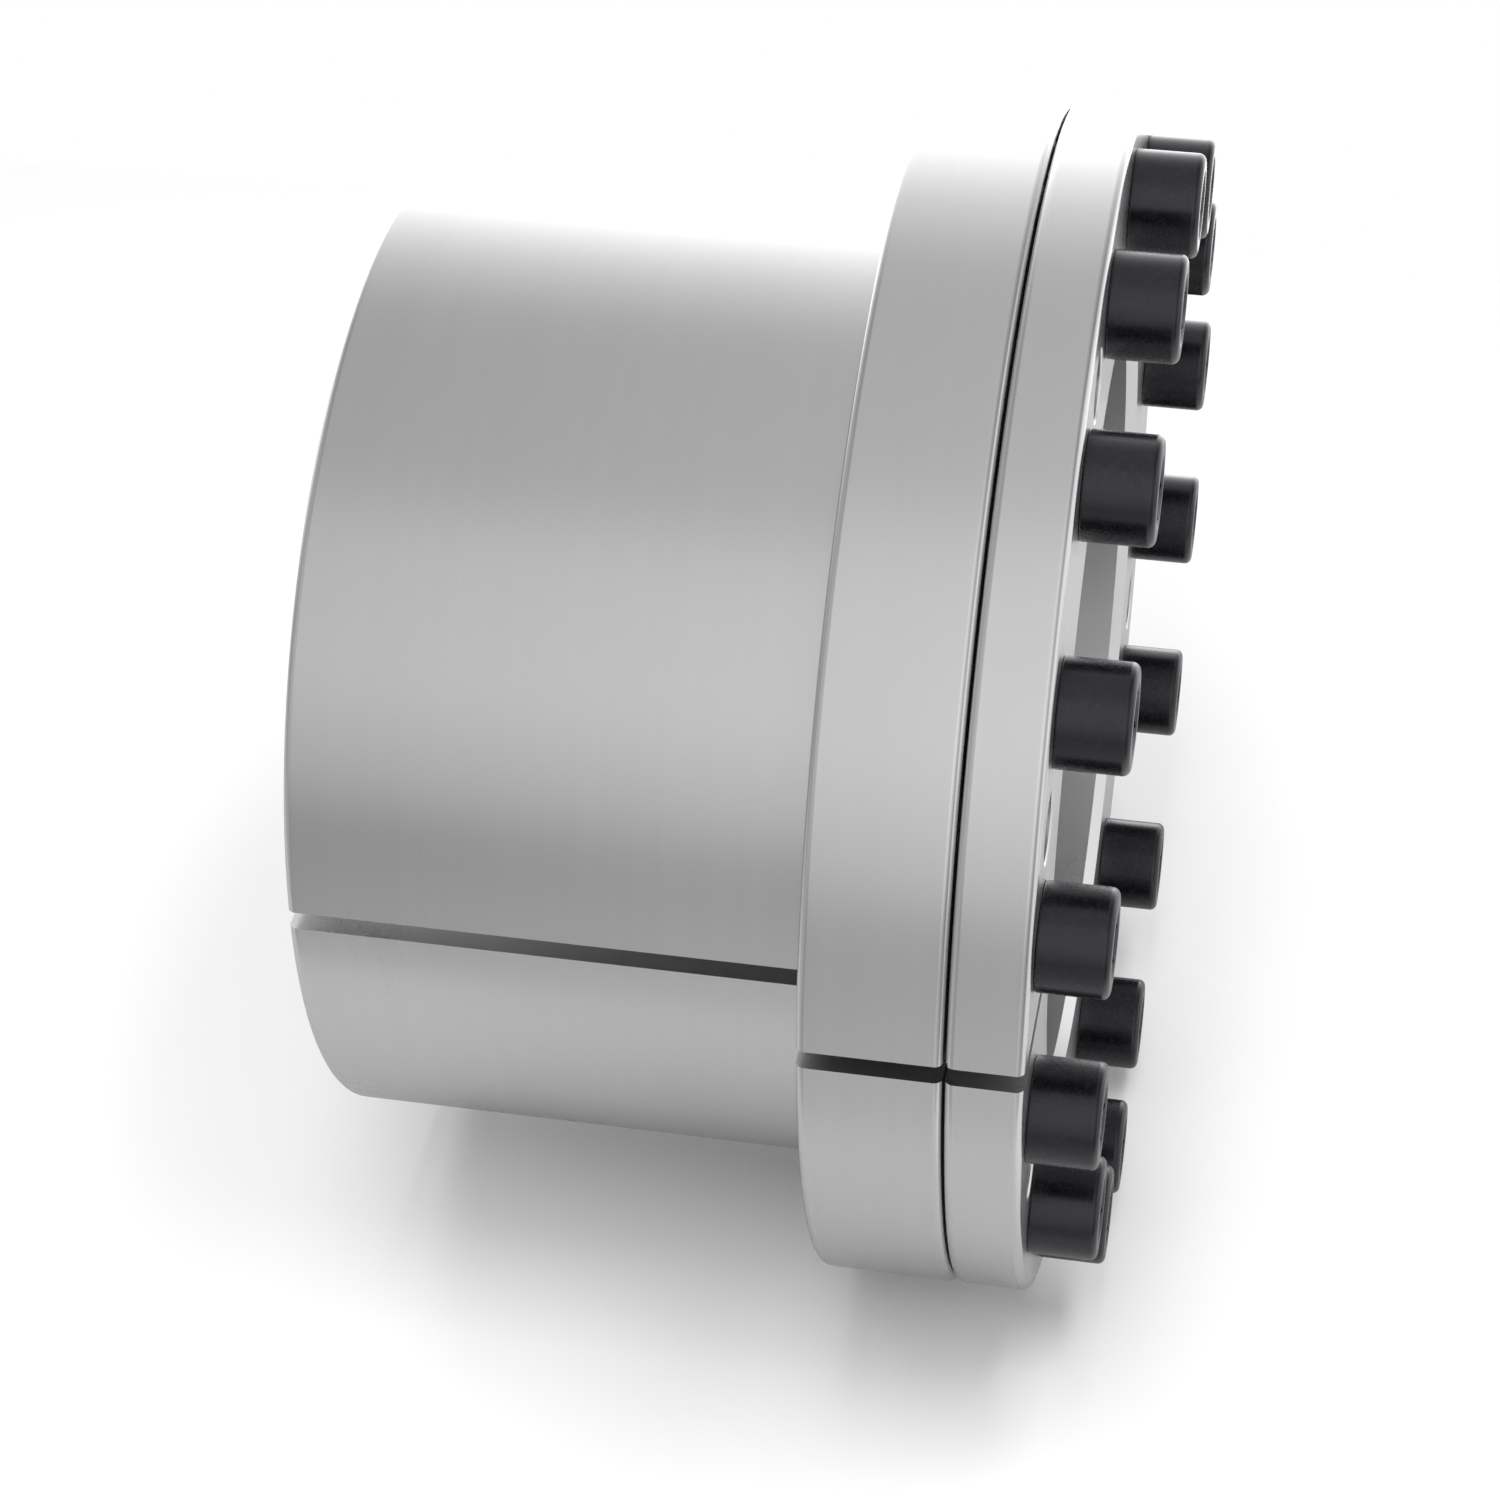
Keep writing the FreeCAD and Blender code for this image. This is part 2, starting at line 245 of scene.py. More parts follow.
def placed(tree, group, **values):
    """Places a group in a material and wires its inputs; underscores stand for spaces."""
    node = tree.nodes.new("ShaderNodeGroup")
    node.node_tree = group
    for label, value in values.items():
        wire(tree, value, node.inputs[label.replace("_", " ")])
    return node


print("helpers ready")

# %% [markdown]
# ## Turning marks
#
# Both rings are turned on a lathe. The tool leaves fine grooves that run round the axis,
# on the cylinders and on the flat faces alike. They could be a wave texture for each
# face, but one noise does for all of them: it changes quickly with radius and height, and
# slowly round the ring. The way round is given as a point on a circle, in the noise's
# fourth dimension and one of its three, so the pattern closes without a seam.

# %% Node group: turning marks
FLOAT = "NodeSocketFloat"
VECTOR = "NodeSocketVector"
turning_marks, marks_in, marks_out = new_group(
    "turning_marks",
    (("Position", VECTOR), ("Spacing", FLOAT), ("Drift", FLOAT)),
    (("Height", FLOAT), ("Tone", FLOAT)),
)
across, along, height, from_axis = from_axis_of(turning_marks, marks_in.outputs["Position"])
way_x = maths(turning_marks, "DIVIDE", across, from_axis)
way_y = maths(turning_marks, "DIVIDE", along, from_axis)
for label, detail, coarser in (("Height", 1.0, 1.0), ("Tone", 2.0, 5.0)):
    spacing = maths(turning_marks, "MULTIPLY", marks_in.outputs["Spacing"], coarser)
    joined = turning_marks.nodes.new("ShaderNodeCombineXYZ")
    drift = marks_in.outputs["Drift"]
    wire(turning_marks, maths(turning_marks, "DIVIDE", from_axis, spacing), joined.inputs["X"])
    wire(turning_marks, maths(turning_marks, "DIVIDE", height, spacing), joined.inputs["Y"])
    wire(turning_marks, maths(turning_marks, "MULTIPLY", way_x, drift), joined.inputs["Z"])
    grain = turning_marks.nodes.new("ShaderNodeTexNoise")
    grain.noise_dimensions = "4D"
    grain.inputs["Scale"].default_value = 1.0
    grain.inputs["Detail"].default_value = detail
    wire(turning_marks, joined.outputs["Vector"], grain.inputs["Vector"])
    wire(turning_marks, maths(turning_marks, "MULTIPLY", way_y, drift), grain.inputs["W"])
    turning_marks.links.new(grain.outputs["Fac"], marks_out.inputs[label])
print("turning_marks:", len(turning_marks.nodes), "nodes")

# %% [markdown]
# ## Rim polish
#
# The rounded rims are broken by hand with a file and emery cloth while the ring spins, and
# they rub on whatever the part lies on. They end up a shade smoother and brighter than
# the faces. Each rim is a circle, so the distance to it needs only its radius and height.

# %% Node group: rim polish
rim_polish, rim_in, rim_out = new_group(
    "rim_polish",
    (("Position", VECTOR), ("Rim Radius", FLOAT), ("Rim Height", FLOAT), ("Reach", FLOAT)),
    (("Mask", FLOAT),),
)
across, along, height, from_axis = from_axis_of(rim_polish, rim_in.outputs["Position"])
out_by = maths(rim_polish, "SUBTRACT", from_axis, rim_in.outputs["Rim Radius"])
up_by = maths(rim_polish, "SUBTRACT", height, rim_in.outputs["Rim Height"])
out_squared = maths(rim_polish, "MULTIPLY", out_by, out_by)
up_squared = maths(rim_polish, "MULTIPLY", up_by, up_by)
away = maths(rim_polish, "SQRT", maths(rim_polish, "ADD", out_squared, up_squared))
near_rim = scaled_range(rim_polish, away, 0.0, rim_in.outputs["Reach"], 1.0, 0.0)
rim_polish.links.new(near_rim, rim_out.inputs["Mask"])
print("rim_polish:", len(rim_polish.nodes), "nodes")

# %% [markdown]
# ## Rounded rims
#
# The rims of the flanges and of the sleeve are rounded with a radius of 1.5 mm. Polished
# steel shows every facet of so small a round as a jagged line. More facets would cost
# thousands of faces, but the exact normal is known: on a rounded rim it points away from
# the centre of the round. This group works it out from how high on the round a point
# lies, and keeps the mesh's own normal everywhere else, also on the walls of the slit.

# %% Node group: rounded rim
RIM_ROUND = 0.0015
LEAST_AGREEMENT = 0.15
rounded_rim, round_in, round_out = new_group(
    "rounded_rim",
    (
        ("Position", VECTOR),
        ("Normal", VECTOR),
        ("Rim Radius", FLOAT),
        ("Rim Height", FLOAT),
        ("Facing", FLOAT),
    ),
    (("Normal", VECTOR),),
)
across, along, height, from_axis = from_axis_of(rounded_rim, round_in.outputs["Position"])
round_centre = maths(rounded_rim, "SUBTRACT", round_in.outputs["Rim Radius"], RIM_ROUND)
out_by = maths(rounded_rim, "MAXIMUM", maths(rounded_rim, "SUBTRACT", from_axis, round_centre), 0.0)
above = maths(rounded_rim, "SUBTRACT", height, round_in.outputs["Rim Height"])
above = maths(rounded_rim, "MULTIPLY_ADD", above, round_in.outputs["Facing"], RIM_ROUND)
up_by = maths(rounded_rim, "MAXIMUM", above, 0.0)
rise = maths(rounded_rim, "MINIMUM", maths(rounded_rim, "DIVIDE", up_by, RIM_ROUND), 1.0)
fallen = maths(rounded_rim, "MULTIPLY_ADD", rise, maths(rounded_rim, "MULTIPLY", rise, -1.0), 1.0)
reach = maths(rounded_rim, "SQRT", fallen)
outwards = maths(rounded_rim, "DIVIDE", reach, from_axis)
joined = rounded_rim.nodes.new("ShaderNodeCombineXYZ")
wire(rounded_rim, maths(rounded_rim, "MULTIPLY", across, outwards), joined.inputs["X"])
wire(rounded_rim, maths(rounded_rim, "MULTIPLY", along, outwards), joined.inputs["Y"])
wire(rounded_rim, maths(rounded_rim, "MULTIPLY", rise, round_in.outputs["Facing"]), joined.inputs["Z"])
unit = rounded_rim.nodes.new("ShaderNodeVectorMath")
unit.operation = "NORMALIZE"
rounded_rim.links.new(joined.outputs["Vector"], unit.inputs[0])
agreement = dot_product(rounded_rim, round_in.outputs["Normal"], unit.outputs["Vector"])
same_side = maths(rounded_rim, "GREATER_THAN", agreement, LEAST_AGREEMENT)
inside = maths(rounded_rim, "GREATER_THAN", maths(rounded_rim, "MINIMUM", out_by, up_by), 0.0)
chosen = rounded_rim.nodes.new("ShaderNodeMix")
chosen.data_type = "VECTOR"
wire(rounded_rim, maths(rounded_rim, "MULTIPLY", same_side, inside), chosen.inputs["Factor"])
rounded_rim.links.new(round_in.outputs["Normal"], chosen.inputs["A"])
rounded_rim.links.new(unit.outputs["Vector"], chosen.inputs["B"])
rounded_rim.links.new(chosen.outputs["Result"], round_out.inputs["Normal"])
print("rounded_rim:", len(rounded_rim.nodes), "nodes")

# %% [markdown]
# ## Oil film
#
# Locking assemblies are shipped and fitted with a thin coat of oil. It gathers in soft
# patches and dulls or deepens the metal very slightly. Two noises of different size make
# the patches, and the mask drives a clear coat and the roughness under it.

# %% Node group: oil film
oil_film, film_in, film_out = new_group(
    "oil_film",
    (("Position", VECTOR), ("Patches", FLOAT)),
    (("Film", FLOAT),),
)
wide = oil_film.nodes.new("ShaderNodeTexNoise")
wide.inputs["Detail"].default_value = 3.0
wide.inputs["Roughness"].default_value = 0.55
oil_film.links.new(film_in.outputs["Position"], wide.inputs["Vector"])
oil_film.links.new(film_in.outputs["Patches"], wide.inputs["Scale"])
soft_patch = scaled_range(oil_film, wide.outputs["Fac"], 0.38, 0.68, 0.0, 1.0)
fine = noise(oil_film, film_in.outputs["Position"], 260.0, 2.0)
speckled = maths(oil_film, "MULTIPLY_ADD", fine, 0.3, 0.85)
oil_film.links.new(maths(oil_film, "MULTIPLY", soft_patch, speckled), film_out.inputs["Film"])
print("oil_film:", len(oil_film.nodes), "nodes")

# %% [markdown]
# ## Steel of the rings
#
# The rings are bare steel with a satin, fine-turned surface. The metal's colour is nearly
# grey. The marks go into the bump and the roughness, the rims are smoother, and the oil
# lies on top as a weak clear coat. The outer sleeve is ground after turning, so its marks
# are closer together than those of the inner ring.


# %% Material: turned steel
RIM_REACH = 0.0026
STEEL_ROUGHNESS = 0.285
ROUGHER_BY_TONE = 0.03
SMOOTHER_BY_POLISH = 0.07
SMOOTHER_BY_OIL = 0.03
OIL_PATCHES = 16.0
OIL_COAT = 0.10


def turned_steel(name, dark, light, rims, spacing, drift):
    """Satin turned steel with rounded rims, given as (radius, height, facing)."""
    material = bpy.data.materials.new(name)
    material.use_nodes = True
    tree = material.node_tree
    shader = tree.nodes["Principled BSDF"]
    coordinates = tree.nodes.new("ShaderNodeTexCoord")
    place = coordinates.outputs["Object"]
    true_normal = coordinates.outputs["Normal"]
    marks = placed(tree, turning_marks, Position=place, Spacing=spacing, Drift=drift)
    film = placed(tree, oil_film, Position=place, Patches=OIL_PATCHES).outputs["Film"]
    polish = 0.0
    for rim_radius, rim_height, facing in rims:
        rounded = placed(
            tree,
            rounded_rim,
            Position=place,
            Normal=true_normal,
            Rim_Radius=rim_radius,
            Rim_Height=rim_height,
            Facing=facing,
        )
        true_normal = rounded.outputs["Normal"]
        rim = placed(
            tree,
            rim_polish,
            Position=place,
            Rim_Radius=rim_radius,
            Rim_Height=rim_height,
            Reach=RIM_REACH,
        )
        polish = maths(tree, "MAXIMUM", polish, rim.outputs["Mask"])
    tone = scaled_range(tree, marks.outputs["Tone"], 0.3, 0.7, 0.0, 1.0)
    shade = maths(tree, "MULTIPLY_ADD", tone, 0.75, maths(tree, "MULTIPLY", polish, 0.3))
    colour = blended(tree, shade, (*dark, 1.0), (*light, 1.0))
    tree.links.new(colour, shader.inputs["Base Color"])
    rough = maths(tree, "MULTIPLY_ADD", marks.outputs["Tone"], ROUGHER_BY_TONE, STEEL_ROUGHNESS)
    rough = maths(tree, "SUBTRACT", rough, maths(tree, "MULTIPLY", polish, SMOOTHER_BY_POLISH))
    rough = maths(tree, "SUBTRACT", rough, maths(tree, "MULTIPLY", film, SMOOTHER_BY_OIL))
    tree.links.new(rough, shader.inputs["Roughness"])
    tree.links.new(maths(tree, "MULTIPLY", film, OIL_COAT), shader.inputs["Coat Weight"])
    shader.inputs["Coat Roughness"].default_value = 0.25
    shader.inputs["Metallic"].default_value = 1.0
    bump = tree.nodes.new("ShaderNodeBump")
    bump.inputs["Strength"].default_value = 0.02
    bump.inputs["Distance"].default_value = 0.00002
    unpolished = maths(tree, "SUBTRACT", 1.0, polish)
    relief = maths(tree, "MULTIPLY", marks.outputs["Height"], unpolished)
    tree.links.new(relief, bump.inputs["Height"])
    to_world = tree.nodes.new("ShaderNodeVectorTransform")
    to_world.vector_type = "NORMAL"
    to_world.convert_from = "OBJECT"
    to_world.convert_to = "WORLD"
    tree.links.new(true_normal, to_world.inputs["Vector"])
    tree.links.new(to_world.outputs["Vector"], bump.inputs["Normal"])
    tree.links.new(bump.outputs["Normal"], shader.inputs["Normal"])
    print(name, "rims:", len(rims), "nodes:", len(tree.nodes))
    return material


OUTER_RIMS = (
    (SLEEVE_RADIUS, 0.0, -1.0),
    (FLANGE_RADIUS, REAR_FLANGE_BACK, -1.0),
    (FLANGE_RADIUS, REAR_FLANGE_FRONT, 1.0),
)
INNER_RIMS = (
    (FLANGE_RADIUS, FRONT_FLANGE_BACK, -1.0),
    (FLANGE_RADIUS, FRONT_FACE, 1.0),
)
outer_ring_steel = turned_steel(
    "outer_ring_steel",
    (0.695, 0.695, 0.698),
    (0.710, 0.710, 0.713),
    OUTER_RIMS,
    0.00065,
    1.2,
)
inner_ring_steel = turned_steel(
    "inner_ring_steel",
    (0.702, 0.702, 0.705),
    (0.717, 0.717, 0.720),
    INNER_RIMS,
    0.00080,
    1.6,
)

# %% [markdown]
# ## Black oxide of the screws
#
# Cap screws of this strength are blackened in a hot salt bath and oiled. The finish is a
# very dark grey with a cool tint and a low sheen, and it wears first on the rim of the
# head. The pattern needs to know where each screw's own axis is. All sixteen stand on one
# circle, so the nearest axis is found by rounding the angle to the nearest screw, and one
# material serves them all.


# %% Material: black oxide
HEAD_RIM = 0.0008
WEAR_STARTS = 0.0007
WEAR_FULL = 0.0013
DARK_OXIDE = (0.0012, 0.0011, 0.0026, 1.0)
LIGHT_OXIDE = (0.0022, 0.0020, 0.0038, 1.0)
BARE_STEEL = (0.16, 0.16, 0.17, 1.0)
THREAD_DEPTH = 1.6
GRIT_DEPTH = 0.0007


def black_oxide(name):
    """Blackened steel with a thread on the shank and slight wear on the head's rims."""
    material = bpy.data.materials.new(name)
    material.use_nodes = True
    tree = material.node_tree
    shader = tree.nodes["Principled BSDF"]
    place = tree.nodes.new("ShaderNodeTexCoord").outputs["Object"]
    split = tree.nodes.new("ShaderNodeSeparateXYZ")
    tree.links.new(place, split.inputs["Vector"])
    along_x, along_y, height = split.outputs["X"], split.outputs["Y"], split.outputs["Z"]
    heading = maths(tree, "ARCTAN2", along_y, along_x)
    sector = maths(tree, "FLOOR", maths(tree, "DIVIDE", heading, SCREW_STEP))
    axis_angle = maths(tree, "MULTIPLY", maths(tree, "ADD", sector, 0.5), SCREW_STEP)
    off_axis = []
    for way, part in ((along_x, "COSINE"), (along_y, "SINE")):
        screw_axis = maths(tree, "MULTIPLY", maths(tree, part, axis_angle), SCREW_CIRCLE_RADIUS)
        off_axis.append(maths(tree, "SUBTRACT", way, screw_axis))
    off_x, off_y = off_axis
    squares = maths(tree, "MULTIPLY_ADD", off_x, off_x, maths(tree, "MULTIPLY", off_y, off_y))
    from_screw = maths(tree, "SQRT", squares)
    turn = maths(tree, "DIVIDE", maths(tree, "ARCTAN2", off_y, off_x), 2 * math.pi)

    rim_depth = 0.0
    for place_on, face in ((height, HEAD_TOP), (from_screw, HEAD_RADIUS)):
        depth = maths(tree, "SUBTRACT", place_on, face - HEAD_RIM)
        rim_depth = maths(tree, "ADD", rim_depth, maths(tree, "MAXIMUM", depth, 0.0))
    on_rim = scaled_range(tree, rim_depth, WEAR_STARTS, WEAR_FULL, 0.0, 1.0)
    patchy = scaled_range(tree, noise(tree, place, 700.0, 4.0, 0.65), 0.42, 0.66, 0.0, 1.0)
    wear = maths(tree, "MULTIPLY", on_rim, patchy)

    tint = noise(tree, place, 55.0, 3.0)
    oxide = blended(tree, tint, DARK_OXIDE, LIGHT_OXIDE)
    colour = blended(tree, maths(tree, "MULTIPLY", wear, 0.35), oxide, BARE_STEEL)
    tree.links.new(colour, shader.inputs["Base Color"])
    tree.links.new(maths(tree, "MULTIPLY", wear, 0.5), shader.inputs["Metallic"])
    grit = noise(tree, place, 1400.0, 3.0, 0.6)
    tree.links.new(maths(tree, "MULTIPLY_ADD", grit, 0.06, 0.24), shader.inputs["Roughness"])

    climb = maths(tree, "SUBTRACT", maths(tree, "DIVIDE", height, THREAD_PITCH), turn)
    thread = maths(tree, "PINGPONG", climb, 0.5)
    below_head = maths(tree, "LESS_THAN", height, FRONT_FACE - 0.0002)
    on_side = maths(tree, "GREATER_THAN", from_screw, SHANK_RADIUS - 0.0003)
    on_shank = maths(tree, "MULTIPLY", below_head, on_side)
    thread = maths(tree, "MULTIPLY", thread, on_shank)
    grain = maths(tree, "MULTIPLY", grit, GRIT_DEPTH)
    relief = maths(tree, "MULTIPLY_ADD", thread, THREAD_DEPTH, grain)
    bump = tree.nodes.new("ShaderNodeBump")
    bump.inputs["Strength"].default_value = 0.6
    bump.inputs["Distance"].default_value = 0.0008
    shader.inputs["Specular IOR Level"].default_value = 0.66
    shader.inputs["Specular Tint"].default_value = (0.94, 0.92, 1.0, 1.0)
    tree.links.new(relief, bump.inputs["Height"])
    tree.links.new(bump.outputs["Normal"], shader.inputs["Normal"])
    print(name, "nodes:", len(tree.nodes))
    return material


screw_black = black_oxide("screw_black")

# %% [markdown]
# ## Rims without folds
#
# The solids arrive as triangles, and on the rounded rims these are long and thin. Where
# two of them meet along a diagonal that cuts into the round, polished steel shows a small
# dark fold. Turning that diagonal the other way takes the fold out and moves no point. So
# each ring gets a copy of its mesh with better diagonals, and the copy stands for it.

# %% Copies of the rings with the folds taken out
FOLD_ANGLE = 0.001
RIM_TOLERANCE = 0.00002
MOST_SWEEPS = 30


def on_round(place, rims):
    """True for a point on the rounded part of a rim."""
    from_axis = math.hypot(place.x, place.y)
    for rim_radius, rim_height, facing in rims:
        out_by = from_axis - (rim_radius - RIM_ROUND)
        up_by = (place.z - rim_height) * facing + RIM_ROUND
        off_round = abs(math.hypot(out_by, up_by) - RIM_ROUND)
        if min(out_by, up_by) > -RIM_TOLERANCE and off_round < RIM_TOLERANCE:
            return True
    return False


def is_fold(edge, on_rims):
    """True for a diagonal between two triangles of a rim that cuts into the round."""
    if len(edge.link_faces) != 2:
        return False
    if not all(vert in on_rims for face in edge.link_faces for vert in face.verts):
        return False
    return edge.calc_face_angle_signed(0.0) < -FOLD_ANGLE


def without_folds(name, rims):
    """A copy of the ring's mesh with the folds of its rims turned; it stands for the ring."""
    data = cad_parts[name].data.copy()
    data.name = name + "_turned"
    mesh = bmesh.new()
    mesh.from_mesh(data)
    on_rims = {vert for vert in mesh.verts if on_round(vert.co, rims)}
    turned = 0
    for _ in range(MOST_SWEEPS):
        folds = [edge for edge in mesh.edges if is_fold(edge, on_rims)]
        if not folds:
            break
        for edge in folds:
            if edge.is_valid and is_fold(edge, on_rims) and bmesh.utils.edge_rotate(edge):
                turned += 1
    mesh.to_mesh(data)
    mesh.free()
    piece = bpy.data.objects.new(data.name, data)
    bpy.context.scene.collection.objects.link(piece)
    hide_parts(name)
    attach(piece, name)
    print(data.name, "diagonals turned:", turned, "folds left:", len(folds))
    return piece


outer_ring = without_folds("outer_ring", OUTER_RIMS)
inner_ring = without_folds("inner_ring", INNER_RIMS)

# %% [markdown]
# Each piece only takes its finish, in its own material slots. The thread ridges are part
# of their ring, so they share its steel.


# %% Give each piece its finish
def finish_piece(piece, material):
    """Puts the material in the piece's first slot, or in all that it has."""
    slots = piece.data.materials
    if not slots:
        slots.append(material)
    for index in range(len(slots)):
        slots[index] = material


finish_piece(outer_ring, outer_ring_steel)
finish_piece(inner_ring, inner_ring_steel)
finish_piece(tapped_threads, outer_ring_steel)
finish_piece(jacking_threads, inner_ring_steel)
screws = [node for name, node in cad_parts.items() if name.startswith("screw_")]
for screw in screws:
    finish_piece(screw, screw_black)
print("screws finished:", len(screws))

# %% [markdown]
# ## Camera
#
# The assembly lies on its side on a white table, seen from about 35 degrees above, with
# the screws at the right and the slit towards the viewer. The camera was fitted to the
# outline of the flanges, the sleeve and the screw heads, so its place and its axes are
# numbers, and a small lens shift centres the view as the picture has it.

# %% Camera at the picture's viewpoint
CAMERA_PLACE = Vector((0.531112, -0.377825, 0.163651))
VIEW_RIGHT = Vector((-0.173819, 0.000499, 0.984778))
VIEW_UP = -Vector((0.566534, 0.817999, 0.099582))
VIEW_BACK = -Vector((-0.805498, 0.575219, -0.142466))
camera_data = bpy.data.cameras.new("camera")
camera_data.sensor_width = 36.0
camera_data.lens = 85.3747
camera_data.shift_x = -0.024126
camera_data.shift_y = -0.051094
camera = bpy.data.objects.new("camera", camera_data)
turned = Matrix((VIEW_RIGHT, VIEW_UP, VIEW_BACK)).transposed().to_4x4()
camera.matrix_world = Matrix.Translation(CAMERA_PLACE) @ turned
bpy.context.scene.collection.objects.link(camera)
bpy.context.scene.camera = camera
print("camera at", tuple(round(v, 3) for v in CAMERA_PLACE), "lens", camera_data.lens)

# %% [markdown]
# ## Table and light
#
# The table is a white sheet that the flange's rim rests on. It is a plane at the side of
# the flange, and only its upper face shows, so the part can be looked at from below as
# well. Behind the part it ends where it is as white as the backdrop. In front it ends a
# little before the part: the steel shows what lies below that edge as a soft dark band
# under the slit. The colour for reflections is lower than the one for the eye, as steel
# would otherwise show the lit table too bright. In reflections the table carries painted
# shade and painted light: it stays dark on the part's side and rises past the screw heads,
# where the table lies open to the light.

# %% The white table
TABLE_GAP = 0.0004
TABLE_SIDE = FLANGE_RADIUS + TABLE_GAP
TABLE_FRONT = 0.17
TABLE_REAR = -0.37
TABLE_HALF_WIDTH = 2.0
TABLE_SEEN = 0.90
# Reflected colour of the table: painted shade on the part's side, painted light past the screw heads.
TABLE_MIRRORED_IN_SHADE = 0.50
TABLE_MIRRORED_IN_LIGHT = 0.66
TABLE_OPENS_OVER = 0.06


def make_table():
    """A plane under the flange's rim, facing the assembly."""
    data = bpy.data.meshes.new("table_top")
    corners = [
        (TABLE_REAR, TABLE_SIDE, -TABLE_HALF_WIDTH),
        (TABLE_FRONT, TABLE_SIDE, -TABLE_HALF_WIDTH),
        (TABLE_FRONT, TABLE_SIDE, TABLE_HALF_WIDTH),
        (TABLE_REAR, TABLE_SIDE, TABLE_HALF_WIDTH),
    ]
    data.from_pydata(corners, [], [(0, 1, 2, 3)])
    table = bpy.data.objects.new("table_top", data)
    bpy.context.scene.collection.objects.link(table)
    return table


def table_white():
    """White for the eye; for reflections a lower grey with painted shade and painted light; see-through
    from behind.
    """
    material = bpy.data.materials.new("table_white")
    material.use_nodes = True
    tree = material.node_tree
    tree.nodes.remove(tree.nodes["Principled BSDF"])
    output = tree.nodes["Material Output"]
    rays = tree.nodes.new("ShaderNodeLightPath")
    mirrored = maths(tree, "MAXIMUM", rays.outputs["Is Glossy Ray"], rays.outputs["Is Transmission Ray"])
    place = tree.nodes.new("ShaderNodeTexCoord").outputs["Object"]
    cloudy = noise(tree, place, 3.0, 2.0)
    paper = blended(tree, cloudy, (0.86, 0.86, 0.86, 1.0), (0.88, 0.88, 0.88, 1.0))
    # Painted shade and light: the reflected colour is dark on the part's side and lighter past the screw
    # heads.
    height = from_axis_of(tree, place)[2]
    open_from = HEAD_TOP + TABLE_OPENS_OVER
    painted_shade_and_light = scaled_range(tree, height, HEAD_TOP, open_from, TABLE_MIRRORED_IN_SHADE, TABLE_MIRRORED_IN_LIGHT)
    painted_mirror_image = tree.nodes.new("ShaderNodeCombineColor")
    for channel in painted_mirror_image.inputs[:3]:
        tree.links.new(painted_shade_and_light, channel)
    colour = blended(tree, mirrored, paper, painted_mirror_image.outputs["Color"])
    seen = (TABLE_SEEN, TABLE_SEEN, TABLE_SEEN, 1.0)
    colour = blended(tree, rays.outputs["Is Camera Ray"], colour, seen)
    matt = tree.nodes.new("ShaderNodeBsdfDiffuse")
    tree.links.new(colour, matt.inputs["Color"])
    clear = tree.nodes.new("ShaderNodeBsdfTransparent")
    side = tree.nodes.new("ShaderNodeNewGeometry").outputs["Backfacing"]
    chosen = tree.nodes.new("ShaderNodeMixShader")
    tree.links.new(side, chosen.inputs["Fac"])
    tree.links.new(matt.outputs["BSDF"], chosen.inputs[1])
    tree.links.new(clear.outputs["BSDF"], chosen.inputs[2])
    tree.links.new(chosen.outputs["Shader"], output.inputs["Surface"])
    return material


table_top = make_table()
table_top.data.materials.append(table_white())
table_normal = table_top.data.polygons[0].normal
print("table at y =", TABLE_SIDE, "facing", tuple(round(v) for v in table_normal))

# %% [markdown]
# The room is a soft pale studio. A steel part shows what surrounds it, so the light is
# mostly a matter of how bright each direction is. Walls and reflectors could be built as
# glowing planes, but the part is round and its axis lies level, so what counts is the
# angle around that axis. A colour ramp over this angle says it all: a grey floor below
# the table's edge, a pale wall at the viewer's side, a darker ceiling, and a bright sheet
# behind the part that makes the broad white band along the top of the sleeve. Two soft
# walls close the room at the two ends of the axis.

# %% World of soft pale light
TOWARDS_VIEWER = VIEW_BACK.normalized()
TOWARDS_TOP = VIEW_UP.normalized()
ROOM_BRIGHTEST = 4.0
RIGHT_WALL = 1.0
LEFT_WALL = 0.4
ROOM_AROUND = (
    (-95, 0.72),
    (-66, 0.65),
    (-50, 0.56),
    (-34, 0.95),
    (-12, 1.16),
    (18, 1.05),
    (42, 0.70),
    (84, 0.60),
    (100, 0.88),
    (116, 1.40),
    (130, 2.10),
    (142, 3.60),
    (160, 3.60),
)


def brightness_around(tree, turn, stops):
    """A ramp over the angle: 0 degrees is the viewer and 90 is the top of the view."""
    share = maths(tree, "MULTIPLY_ADD", turn, 1 / (2 * math.pi), 0.5)
    ramp = tree.nodes.new("ShaderNodeValToRGB")
    ramp.color_ramp.interpolation = "EASE"
    marks = ramp.color_ramp.elements
    while len(marks) < len(stops):
        marks.new(0.5)
    for mark, (degrees, brightness) in zip(marks, stops):
        mark.position = degrees / 360 + 0.5
        level = brightness / ROOM_BRIGHTEST
        mark.color = (level, level, level, 1.0)
    wire(tree, share, ramp.inputs["Fac"])
    return maths(tree, "MULTIPLY", ramp.outputs["Color"], ROOM_BRIGHTEST)


world = bpy.data.worlds.new("soft_studio")
bpy.context.scene.world = world
world.use_nodes = True
sky = world.node_tree
way = sky.nodes.new("ShaderNodeTexCoord").outputs["Generated"]
towards_top = dot_product(sky, way, TOWARDS_TOP)
towards_viewer = dot_product(sky, way, TOWARDS_VIEWER)
turn = maths(sky, "ARCTAN2", towards_top, towards_viewer)
sideways = dot_product(sky, way, VIEW_RIGHT.normalized())
around = brightness_around(sky, turn, ROOM_AROUND)
across = maths(sky, "SUBTRACT", 1.0, maths(sky, "ABSOLUTE", sideways))
right_wall = scaled_range(sky, sideways, 0.60, 0.92, 0.0, RIGHT_WALL)
left_wall = scaled_range(sky, sideways, -0.45, -0.90, 0.0, LEFT_WALL)
ends = maths(sky, "ADD", right_wall, left_wall)
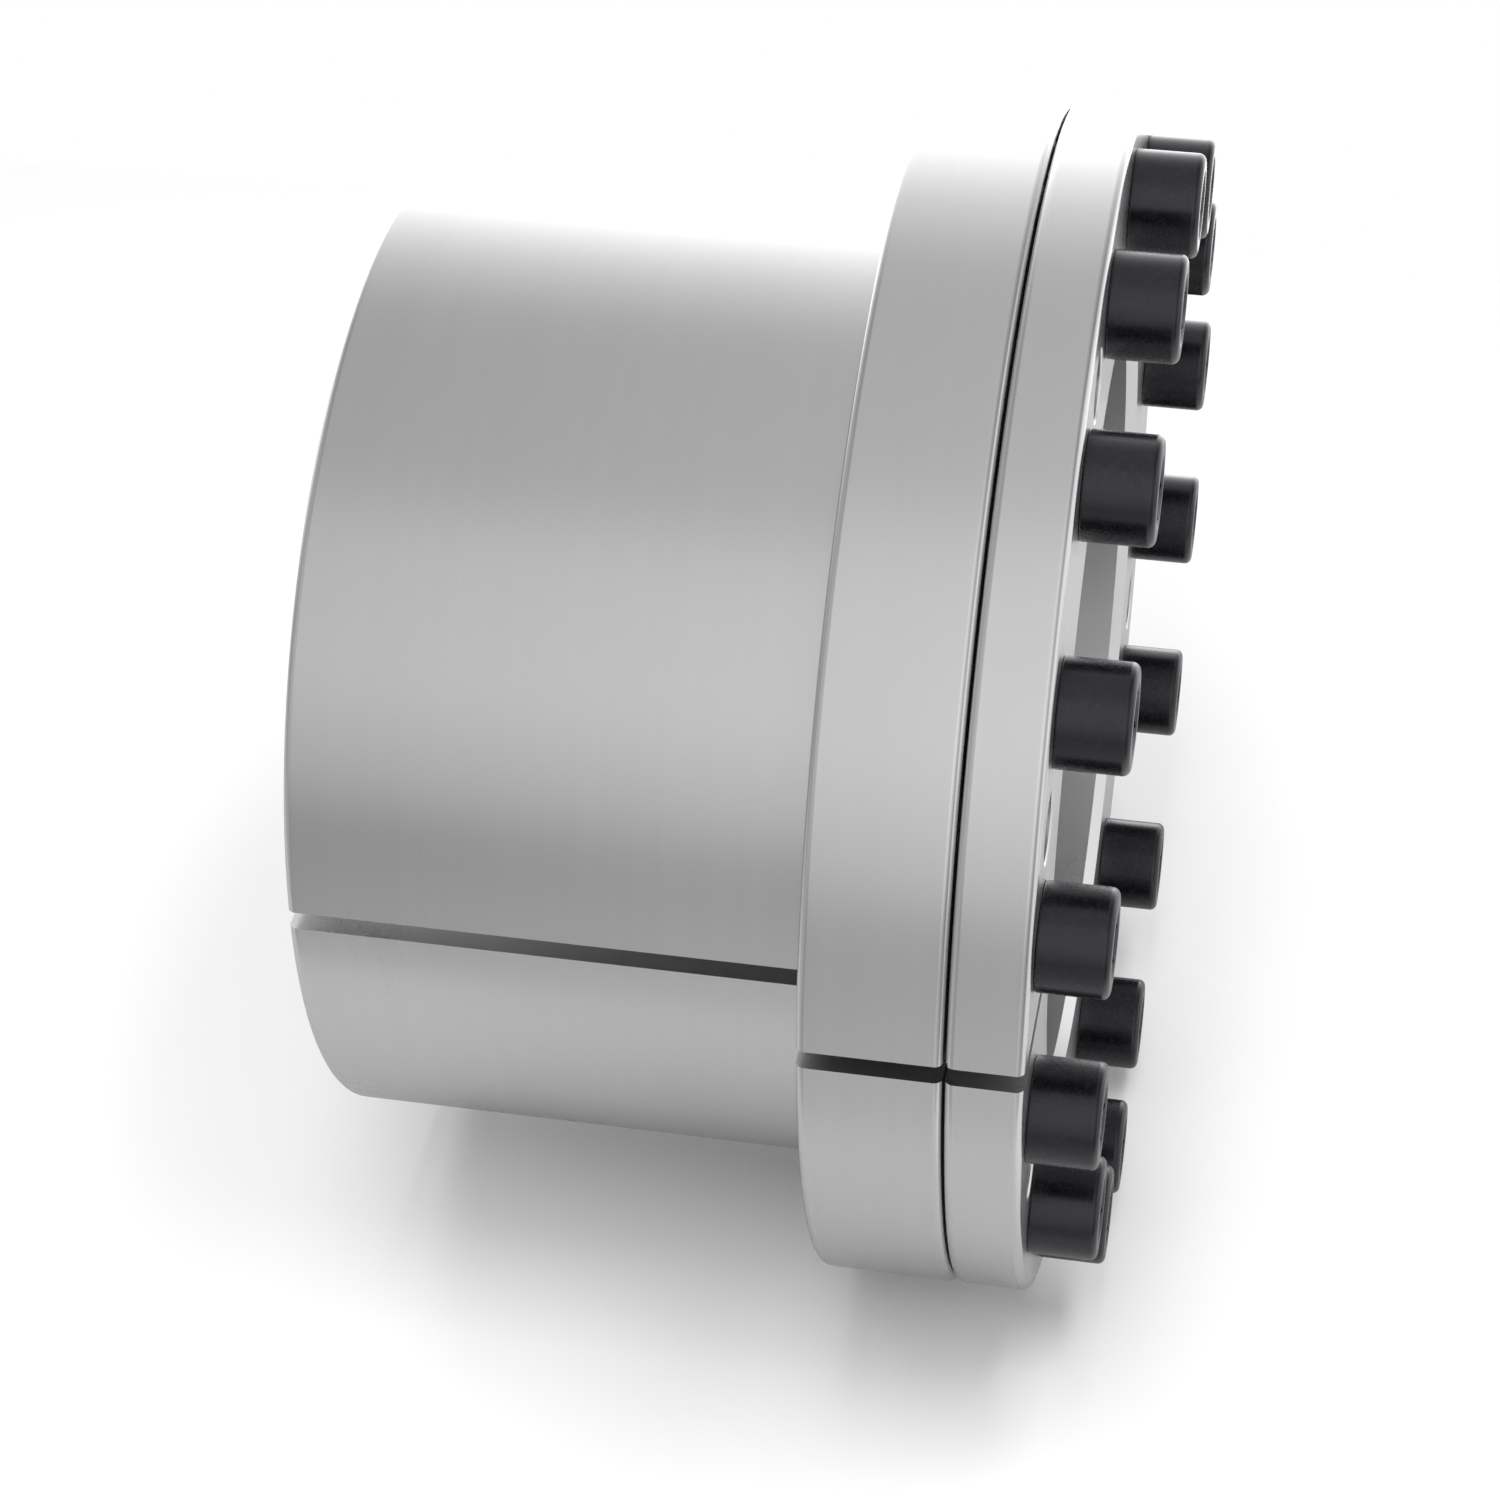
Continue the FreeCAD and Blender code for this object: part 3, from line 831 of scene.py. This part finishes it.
level = maths(sky, "MULTIPLY_ADD", around, across, ends)
rays = sky.nodes.new("ShaderNodeLightPath")
strength = sky.nodes.new("ShaderNodeMix")
wire(sky, rays.outputs["Is Camera Ray"], strength.inputs["Factor"])
wire(sky, level, strength.inputs["A"])
strength.inputs["B"].default_value = 1.0
background = sky.nodes["Background"]
background.inputs["Color"].default_value = (1.0, 1.0, 1.0, 1.0)
sky.links.new(strength.outputs["Result"], background.inputs["Strength"])
print("world nodes:", len(sky.nodes), "ramp stops:", len(ROOM_AROUND))

# %% [markdown]
# Three strip lights above the part light the table and give the part its shadow. They are
# narrow along the part's axis and long across it, so the ends of the shadow are fairly
# sharp while its front and back fade. The steel doesn't show them, as the room's bright
# sheet already gives it its band.


# %% Strip lights
STRIP_DISTANCE = 1.2
STRIP_ACROSS = 0.8
STRIP_ALONG = 0.25
STRIPS = (
    ("front_strip", Vector((0.5, -0.87, 0.0)), 10.2),
    ("right_strip", Vector((0.2, -1.0, 0.35)), 8.0),
    ("left_strip", Vector((0.2, -1.0, -0.35)), 3.5),
)


def add_strip_light(name, towards, radiance):
    """A rectangular area light that faces the part, with that brightness."""
    data = bpy.data.lights.new(name, "AREA")
    data.shape = "RECTANGLE"
    data.size = STRIP_ACROSS
    data.size_y = STRIP_ALONG
    data.energy = radiance * math.pi * STRIP_ACROSS * STRIP_ALONG
    lamp = bpy.data.objects.new(name, data)
    lamp.visible_glossy = False
    middle_of_part = Vector((0.0, 0.0, 0.07))
    lamp.location = middle_of_part + towards.normalized() * STRIP_DISTANCE
    lamp.rotation_euler = (-towards).to_track_quat("-Z", "Y").to_euler()
    bpy.context.scene.collection.objects.link(lamp)
    print(name, "energy", round(data.energy, 2), "W")


for strip_name, strip_way, strip_radiance in STRIPS:
    add_strip_light(strip_name, strip_way, strip_radiance)

# %% [markdown]
# The view transform is Standard, so a colour shows as it is written.

# %% View transform
bpy.context.scene.view_settings.view_transform = "Standard"
